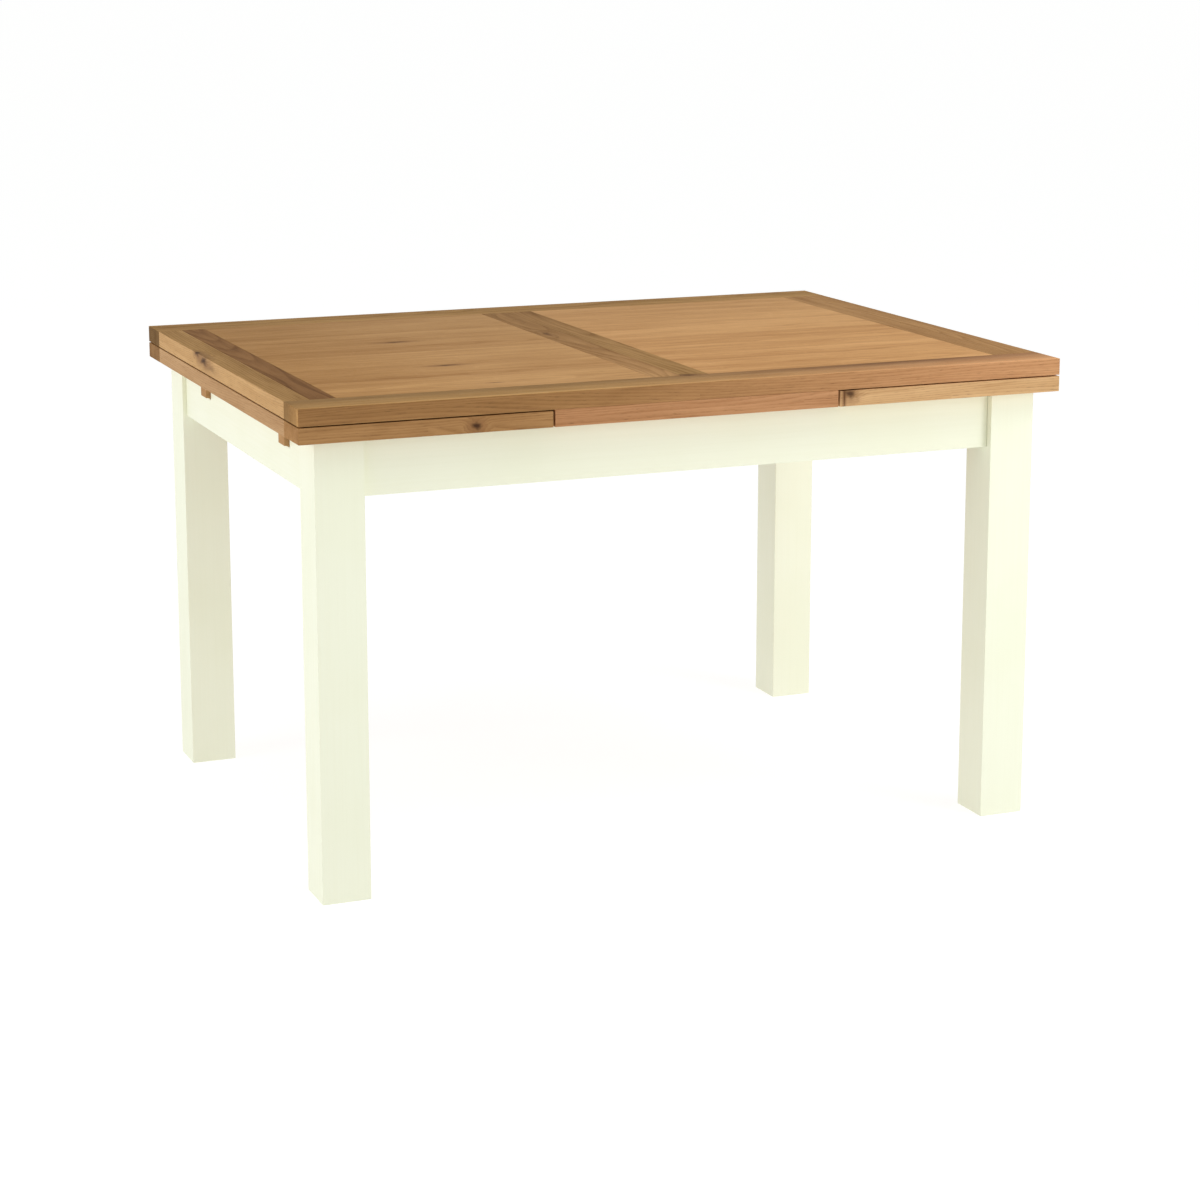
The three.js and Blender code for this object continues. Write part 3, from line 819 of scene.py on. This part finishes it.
def add_screw(node):
    """A pan-head screw that points up, with a cross recess in its head."""
    low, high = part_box(node)
    middle = (low + high) / 2
    bottom = Vector((middle.x, middle.y, low.z))
    head = (high.x - low.x) / 2
    length = high.z - low.z
    across = Vector((1.0, 0.0, 0.0))

    def crown(radius):
        return SCREW_HEAD_TALL * SCREW_CROWN * (radius / head) ** 2

    def head_ring(reach, depth=0.0):
        """A ring on the crowned head, or depth into it. reach gives its radius at an angle."""
        ring = turned([(0.0, 0.0)], UP, across, bottom, SCREW_SIDES, lambda place, angle: reach(angle))[0]
        return [point + UP * (depth + crown((point - bottom).length)) for point in ring]

    rings = []
    for share, depth in RECESS_STEPS:
        rings.append(head_ring(lambda angle: share * cross_outline(angle), depth))
    for share in HEAD_STEPS:
        rings.append(head_ring(lambda angle: (1 - share) * cross_outline(angle) + share * head))
    profile = [(crown(head) - 0.0002, head - 0.0001), (crown(head) + 0.0004, head), (SCREW_HEAD_TALL, head),
               (SCREW_HEAD_TALL, SCREW_CORE), (length - SCREW_POINT, SCREW_CORE), (length, SCREW_TIP)]
    rings += turned(profile, UP, across, bottom, SCREW_SIDES)
    loft(node.replace("peg_screw", "pan_head_screw"), rings, ZINC, node)


def add_felt(node):
    """A strip of wool felt glued under the top: soft edges, a slightly uneven nap and cut ends."""
    low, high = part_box(node)
    wide, long, thick = high - low
    middle = (low + high) / 2
    seeded = random.Random("felt " + node)
    rings = []
    for row in range(FELT_ROWS + 1):
        y = low.y + FELT_INSET + (long - 2 * FELT_INSET) * row / FELT_ROWS
        edge = min(1.0, min(row, FELT_ROWS - row) / FELT_END_ROWS)
        squeeze = FELT_END_SQUEEZE + (1.0 - FELT_END_SQUEEZE) * edge
        ring = []
        for i in range(FELT_SIDES):
            angle = math.tau * i / FELT_SIDES
            x = math.copysign(abs(math.cos(angle)) ** FELT_SQUARE_X, math.cos(angle))
            z = math.copysign(abs(math.sin(angle)) ** FELT_SQUARE_Z, math.sin(angle))
            nap = seeded.uniform(-FELT_NAP, FELT_NAP)
            reach_x = (wide / 2 - FELT_INSET) * squeeze + nap * 2
            reach_z = (thick / 2 - FELT_INSET_UP) * squeeze + nap
            ring.append(Vector((middle.x + x * reach_x, y, middle.z + z * reach_z)))
        rings.append(ring)
    loft(node.replace("felt_strip", "wool_felt"), rings, FELT, node)


MAKERS = {"leg_bolt": add_bolt, "leg_nut": add_nut, "peg_screw": add_screw, "felt_strip": add_felt}
for node in list(NODES):
    for start, make in MAKERS.items():
        if node.startswith(start):
            make(node)


# ---- Floor, light and camera ----

FLOOR_SIDE = 240.0
FLOOR_GREY = (0.34, 0.34, 0.34, 1.0)
FLOOR_GLOW = 0.80

# Soft lamps: place and side in metres, power in watts. All of them face LAMP_AIM.
LAMPS = {
    "key": ((1.7, -1.5, 2.9), 1.6, 34.0),
    "front": ((2.6, -3.4, 1.5), 1.8, 40.0),
    "left": ((-4.0, -0.2, 1.4), 1.8, 43.0),
}
LAMP_AIM = Vector((0.0, 0.0, 0.55))

# Light from all round: its strength at the horizon, how much it gains overhead, its colour, and how
# high, as the sine of the angle, the white rim reaches that hides the floor's far edge
WORLD_HORIZON = 0.41
WORLD_RISE = 0.25
WORLD_COLOR = (0.99, 1.0, 0.98, 1.0)
RIM_TOP = 0.12


def add_floor():
    """A wide grey floor with a white glow of its own: it looks white and keeps hardly any shadow."""
    bpy.ops.mesh.primitive_plane_add(size=FLOOR_SIDE, location=(0.0, 0.0, 0.0))
    floor = bpy.context.object
    floor.name = "floor"
    made, _, shader = new_material("floor_white")
    shader.inputs["Base Color"].default_value = FLOOR_GREY
    shader.inputs["Roughness"].default_value = 0.9
    shader.inputs["Specular IOR Level"].default_value = 0.0
    shader.inputs["Emission Color"].default_value = (1.0, 1.0, 1.0, 1.0)
    shader.inputs["Emission Strength"].default_value = FLOOR_GLOW
    floor.data.materials.append(made)


def add_softbox(name, place, side, power):
    """A square soft lamp that faces the table."""
    data = bpy.data.lights.new(name, "AREA")
    data.energy = power
    data.size = side
    lamp = bpy.data.objects.new(name, data)
    lamp.location = place
    lamp.rotation_mode = "QUATERNION"
    aim = LAMP_AIM - Vector(place)
    lamp.rotation_quaternion = aim.to_track_quat("-Z", "Y")
    bpy.context.scene.collection.objects.link(lamp)


def add_world():
    """White light from all round, rising to overhead, with a white rim where it meets the floor."""
    world = bpy.data.worlds.new("studio")
    bpy.context.scene.world = world
    world.use_nodes = True
    t = Tree(world.node_tree)
    background = world.node_tree.nodes["Background"]
    up = t.split(t.node("ShaderNodeTexCoord").outputs["Generated"])["Z"]
    strength = t.math("MULTIPLY_ADD", t.math("MAXIMUM", up, 0.0), WORLD_RISE, WORLD_HORIZON)
    strength = t.math("ADD", strength, t.fit(up, 0.0, RIM_TOP, 1.0 - WORLD_HORIZON, 0.0))
    t.feed(background.inputs["Strength"], strength)
    background.inputs["Color"].default_value = WORLD_COLOR


def add_camera():
    """The photo's view of the table, from a camera that looks down at it a little."""
    data = bpy.data.cameras.new("camera")
    data.lens = CAMERA_LENS
    data.sensor_width = CAMERA_SENSOR
    data.shift_y = CAMERA_SHIFT_Y
    data.clip_end = CAMERA_FARTHEST
    camera = bpy.data.objects.new("camera", data)
    forward = Vector((math.sin(CAMERA_YAW) * math.cos(CAMERA_PITCH),
                      math.cos(CAMERA_YAW) * math.cos(CAMERA_PITCH), -math.sin(CAMERA_PITCH)))
    camera.location = CAMERA_PLACE
    camera.rotation_mode = "QUATERNION"
    camera.rotation_quaternion = forward.to_track_quat("-Z", "Y")
    bpy.context.scene.collection.objects.link(camera)
    bpy.context.scene.camera = camera


add_floor()
for lamp_name, (place, side, power) in LAMPS.items():
    add_softbox(lamp_name, place, side, power)
add_world()
add_camera()
bpy.context.scene.view_settings.view_transform = "Standard"
